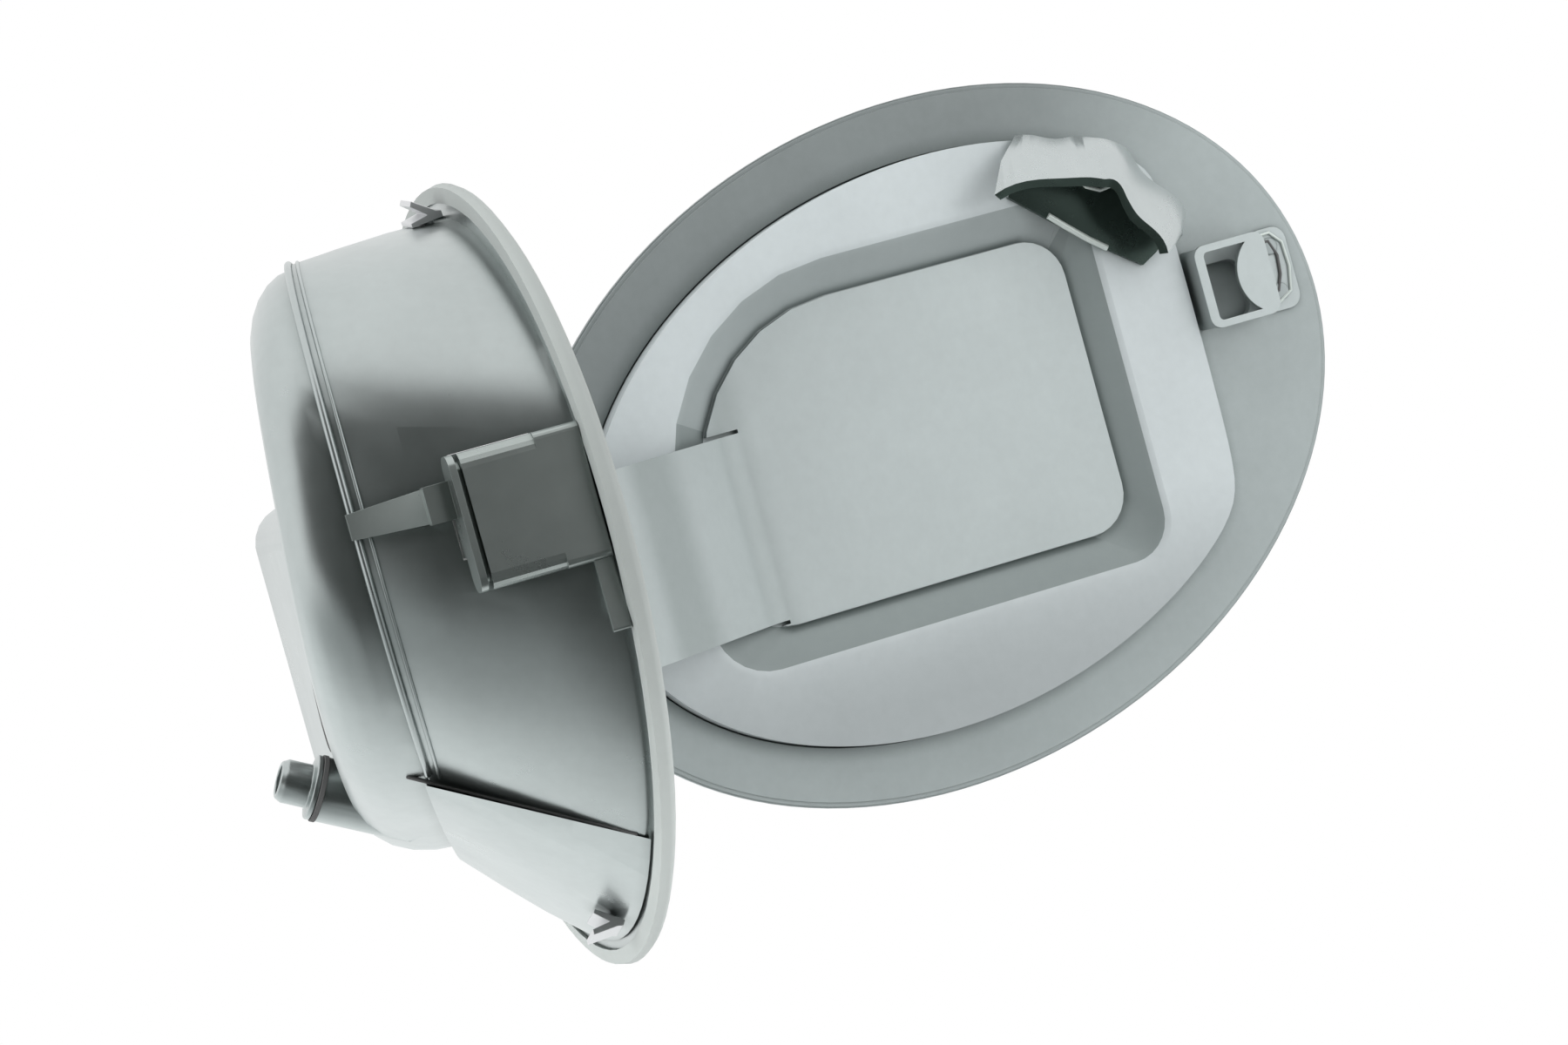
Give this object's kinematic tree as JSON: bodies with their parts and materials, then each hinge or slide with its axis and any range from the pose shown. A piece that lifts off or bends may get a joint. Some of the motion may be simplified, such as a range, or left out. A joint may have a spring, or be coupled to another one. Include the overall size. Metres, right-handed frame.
{
  "type": "car fuel door",
  "caption": "Car fuel door: an oval flap on a gooseneck arm, hinged in a filler bowl with a lock, a cap holder and a drain.",
  "frame": {"origin": "centre of the bowl's mouth, level with the body panel it is set in", "axes": "+Y into the car along the mouth's axis, +Z along the hinge pin, +X from the lock towards the hinge"},
  "size_m": [0.2441, 0.262, 0.143],
  "materials": {
    "bowl_plastic": "satin",
    "soft_seal": "satin",
    "black_rubber": "matte",
    "lock_plastic": "satin",
    "spring_steel": "satin",
    "plated_steel": "satin",
    "coated_sheet": "satin",
    "bush_plastic": "satin",
    "holder_plastic": "satin"
  },
  "bodies": {
    "housing": {"filler_bowl": "bowl_plastic", "flange_seal": "soft_seal", "neck_grommet": "black_rubber", "drain_nozzle": "bowl_plastic", "drain_washer": "black_rubber", "lock_housing": "lock_plastic", "lock_cap": "lock_plastic", "lock_spring": "spring_steel", "hinge_pin": "plated_steel", "pin_clip": "spring_steel", "hinge_spring": "spring_steel", "buffer_upper": "black_rubber", "buffer_lower": "black_rubber", "clip_upper": "spring_steel", "clip_lower": "spring_steel"},
    "lock_plunger": {"lock_plunger": "plated_steel"},
    "lock_head": {"lock_head": "plated_steel"},
    "door": {"outer_skin": "coated_sheet", "inner_panel": "coated_sheet", "hinge_arm": "coated_sheet", "bush_upper": "bush_plastic", "bush_lower": "bush_plastic", "cap_holder": "holder_plastic", "holder_pegs": "plated_steel", "striker": "plated_steel", "striker_rivets": "plated_steel"}
  },
  "joints": [
    {"name": "door_hinge", "type": "hinge", "parent": "housing", "child": "door", "pos_m": [0.123, 0.002, 0], "axis": [0, 0, 1], "range_deg": [-94.7, 0], "stiffness_Nm_per_rad": 0.08},
    {"name": "plunger_slide", "type": "slide", "parent": "housing", "child": "lock_plunger", "axis": [0, 1, 0], "range_m": [0, 0.004], "stiffness_N_per_m": 300},
    {"name": "head_turn", "type": "hinge", "parent": "lock_plunger", "child": "lock_head", "pos_m": [-0.0705, 0, 0.014], "axis": [0, 1, 0], "range_deg": [0, 90.5]}
  ],
  "couplings": [
    {"joint": "head_turn", "follows": "plunger_slide", "rad_per_m": 392}
  ]
}
